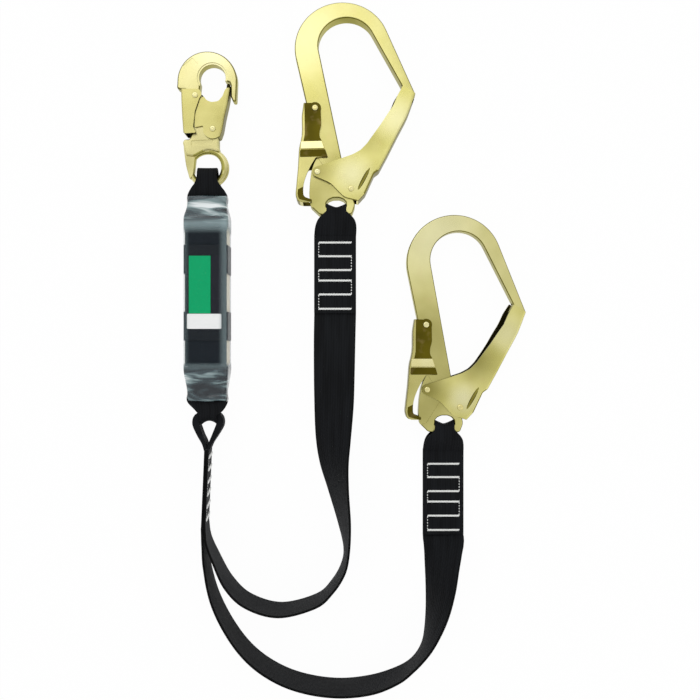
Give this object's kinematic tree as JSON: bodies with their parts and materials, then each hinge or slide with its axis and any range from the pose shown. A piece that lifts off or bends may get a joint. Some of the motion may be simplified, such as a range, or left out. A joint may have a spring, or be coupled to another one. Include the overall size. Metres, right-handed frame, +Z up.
{
  "type": "twin leg webbing lanyard",
  "caption": "Y-shaped fall-arrest lanyard: an energy absorber pack with a snap hook, and twin webbing legs that each end in a large scaffold hook.",
  "frame": {"origin": "on the table, at the middle of the box around everything but the two free webbing legs", "axes": "+Y from the webbing's bends towards the hooks' crowns, +Z up from the table it lies flat on, +X towards the lower hook"},
  "size_m": [0.3799, 0.7469, 0.0453],
  "materials": {
    "forged_steel": "yellow zinc plate over forged steel, satin",
    "sheet_steel": "yellow zinc plate over pressed sheet, satin",
    "rivet_steel": "yellow zinc plate, peened heads",
    "spring_steel": "bare spring wire",
    "webbing": "black woven polyester",
    "core_webbing": "undyed woven polyester",
    "thread": "white polyester thread",
    "band": "matt black",
    "film": "clear, glossy and creased",
    "green_panel": "plain green",
    "dark_panel": "plain charcoal",
    "white_panel": "plain white"
  },
  "bodies": {
    "twin_legs": {"leg_eye": "webbing", "eye_stitching": "thread", "leg_1": "webbing", "leg_2": "webbing", "tab_1": "webbing", "tab_1_stitching": "thread", "tab_2": "webbing", "tab_2_stitching": "thread"},
    "pack": {"tear_webbing": "core_webbing", "outer_fold": "webbing", "upper_band": "band", "lower_band": "band", "green_label": "green_panel", "charcoal_label": "dark_panel", "white_label": "white_panel", "clear_sleeve": "film", "upper_loop": "webbing", "lower_loop": "webbing"},
    "snap_hook": {"snap_hook_body": "forged_steel", "snap_hook_gate_rivet": "rivet_steel", "snap_hook_lock_rivet": "rivet_steel", "snap_hook_gate_spring": "spring_steel", "snap_hook_lock_spring": "spring_steel"},
    "snap_gate": {"snap_hook_gate": "sheet_steel"},
    "snap_lock": {"snap_hook_lock_lever": "sheet_steel"},
    "hook_1": {"hook_1_body": "forged_steel", "hook_1_gate_rivet": "rivet_steel", "hook_1_lock_rivet": "rivet_steel", "hook_1_gate_spring": "spring_steel", "hook_1_lock_spring": "spring_steel"},
    "hook_1_gate": {"hook_1_gate": "sheet_steel", "hook_1_catch_stud_front": "rivet_steel", "hook_1_catch_stud_back": "rivet_steel"},
    "hook_1_lock": {"hook_1_lock_lever": "sheet_steel"},
    "hook_2": {"hook_2_body": "forged_steel", "hook_2_gate_rivet": "rivet_steel", "hook_2_lock_rivet": "rivet_steel", "hook_2_gate_spring": "spring_steel", "hook_2_lock_spring": "spring_steel"},
    "hook_2_gate": {"hook_2_gate": "sheet_steel", "hook_2_catch_stud_front": "rivet_steel", "hook_2_catch_stud_back": "rivet_steel"},
    "hook_2_lock": {"hook_2_lock_lever": "sheet_steel"}
  },
  "joints": [
    {"name": "pack_swing", "type": "hinge", "parent": "twin_legs", "child": "pack", "pos_m": [-0.1552, -0.1593, 0.0143], "axis": [1, 0, 0], "range_deg": [0, 90]},
    {"name": "snap_hook_swing", "type": "hinge", "parent": "pack", "child": "snap_hook", "pos_m": [-0.1563, 0.0927, 0.0114], "axis": [1, 0, 0], "range_deg": [0, 90]},
    {"name": "snap_gate_open", "type": "hinge", "parent": "snap_hook", "child": "snap_gate", "pos_m": [-0.1501, 0.1521, 0.0114], "axis": [0, 0, 1], "range_deg": [0, 28], "stiffness_Nm_per_rad": 0.12, "springref_deg": -22.92},
    {"name": "snap_lock_squeeze", "type": "hinge", "parent": "snap_hook", "child": "snap_lock", "pos_m": [-0.1688, 0.1878, 0.0114], "axis": [0, 0, 1], "range_deg": [0, 3.5], "stiffness_Nm_per_rad": 0.5, "springref_deg": -6.88},
    {"name": "hook_1_swing", "type": "hinge", "parent": "twin_legs", "child": "hook_1", "pos_m": [-0.0156, 0.0594, 0.02682], "axis": [0.9997, 0.0244, 0], "range_deg": [0, 90]},
    {"name": "hook_1_gate_open", "type": "hinge", "parent": "hook_1", "child": "hook_1_gate", "pos_m": [0.00022, 0.0832, 0.02478], "axis": [-0.0021, 0.0871, 0.9962], "range_deg": [0, 28], "stiffness_Nm_per_rad": 0.3, "springref_deg": -22.92},
    {"name": "hook_1_lock_squeeze", "type": "hinge", "parent": "hook_1", "child": "hook_1_lock", "pos_m": [-0.03865, 0.17184, 0.01694], "axis": [-0.0021, 0.0871, 0.9962], "range_deg": [0, 3], "stiffness_Nm_per_rad": 1, "springref_deg": -6.88},
    {"name": "hook_2_swing", "type": "hinge", "parent": "twin_legs", "child": "hook_2", "pos_m": [0.1021, -0.1742, 0.0101], "axis": [1, 0, 0], "range_deg": [0, 90]},
    {"name": "hook_2_gate_open", "type": "hinge", "parent": "hook_2", "child": "hook_2_gate", "pos_m": [0.1185, -0.1507, 0.0101], "axis": [0, 0, 1], "range_deg": [0, 28], "stiffness_Nm_per_rad": 0.3, "springref_deg": -22.92},
    {"name": "hook_2_lock_squeeze", "type": "hinge", "parent": "hook_2", "child": "hook_2_lock", "pos_m": [0.0818, -0.0608, 0.0101], "axis": [0, 0, 1], "range_deg": [0, 3], "stiffness_Nm_per_rad": 1, "springref_deg": -6.88}
  ]
}
